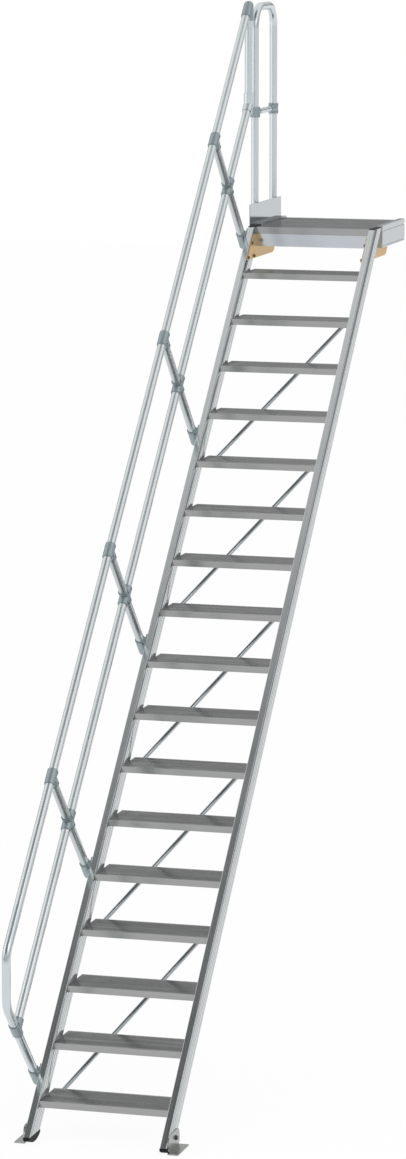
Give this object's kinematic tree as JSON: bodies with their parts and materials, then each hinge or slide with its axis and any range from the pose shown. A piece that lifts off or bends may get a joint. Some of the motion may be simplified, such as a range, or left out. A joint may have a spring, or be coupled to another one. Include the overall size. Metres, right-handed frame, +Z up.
{
  "type": "aluminium stair with platform",
  "caption": "Steep straight aluminium stair with ribbed treads, a small top platform, a tube handrail on one side, a guard loop and a toe board.",
  "frame": {"origin": "centre of the rear channel's flat back face, which stands against the wall", "axes": "+Y into the wall, the way the stair climbs, +X to the right of someone going up, +Z up"},
  "size_m": [0.764, 4.544, 4.907],
  "materials": {
    "stringers": "mill finish, satin, with long extrusion grooves",
    "treads": "ribbed extrusion, satin",
    "deck": "ribbed extrusion, satin",
    "frame": "extruded beam, satin",
    "brackets": "yellow chromated steel sheet",
    "braces": "thin tube with flat ends, satin",
    "tubes": "drawn tube, semi-gloss",
    "fittings": "cast clamp, tumbled",
    "caps": "moulded black plastic",
    "floor_plates": "zinc-plated angle",
    "toe_board": "smooth sheet"
  },
  "bodies": {
    "root": {"brace_1": "braces", "brace_2": "braces", "brace_3": "braces", "brace_4": "braces", "brace_5": "braces", "closing_tube": "tubes", "crossbar_tees": "fittings", "deck_plank_1": "deck", "deck_plank_2": "deck", "deck_plank_3": "deck", "end_fittings": "fittings", "floor_plates": "floor_plates", "foot_caps": "caps", "front_beam": "frame", "guard_crossbar": "tubes", "guard_loop": "tubes", "knee_crosses": "fittings", "knee_rail": "tubes", "left_bracket": "brackets", "left_side_beam": "frame", "left_stringer": "stringers", "loop_clamps": "fittings", "plank_ledges": "frame", "post_1": "tubes", "post_2": "tubes", "post_3": "tubes", "post_4": "tubes", "post_sockets": "fittings", "rail_bow": "tubes", "rail_tee_1": "fittings", "rail_tee_2": "fittings", "rail_tee_3": "fittings", "rail_tee_4": "fittings", "rear_beam": "frame", "right_bracket": "brackets", "right_side_beam": "frame", "right_stringer": "stringers", "toe_board": "toe_board", "top_caps": "caps", "top_rail": "tubes", "tread_01": "treads", "tread_02": "treads", "tread_03": "treads", "tread_04": "treads", "tread_05": "treads", "tread_06": "treads", "tread_07": "treads", "tread_08": "treads", "tread_09": "treads", "tread_10": "treads", "tread_11": "treads", "tread_12": "treads", "tread_13": "treads", "tread_14": "treads", "tread_15": "treads", "tread_16": "treads", "tread_17": "treads"}
  },
  "joints": []
}
